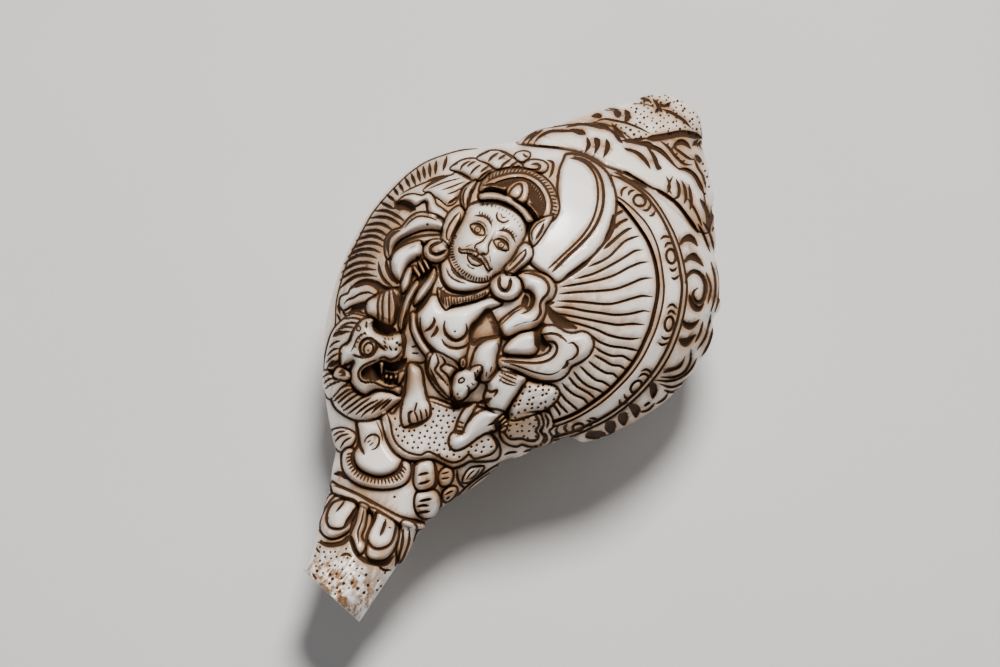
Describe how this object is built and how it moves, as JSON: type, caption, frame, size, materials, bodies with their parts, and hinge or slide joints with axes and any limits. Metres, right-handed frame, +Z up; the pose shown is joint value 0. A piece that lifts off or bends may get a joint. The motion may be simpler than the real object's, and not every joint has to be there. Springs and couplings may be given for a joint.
{
  "type": "carved conch shell",
  "caption": "Carved conch shell lying on its mouth, with coiled spire, swollen body, long neck with a canal, and a seated figure and lion carved in relief.",
  "frame": {"origin": "on the resting surface, under the middle of the bounding box", "axes": "+X along the shell towards the apex, +Z up, carved side up"},
  "size_m": [0.1716, 0.0971, 0.0903],
  "materials": {
    "carved_shell": "polished shell with brown stain in the cuts"
  },
  "bodies": {
    "root": {"conch_shell": "carved_shell"}
  },
  "joints": []
}
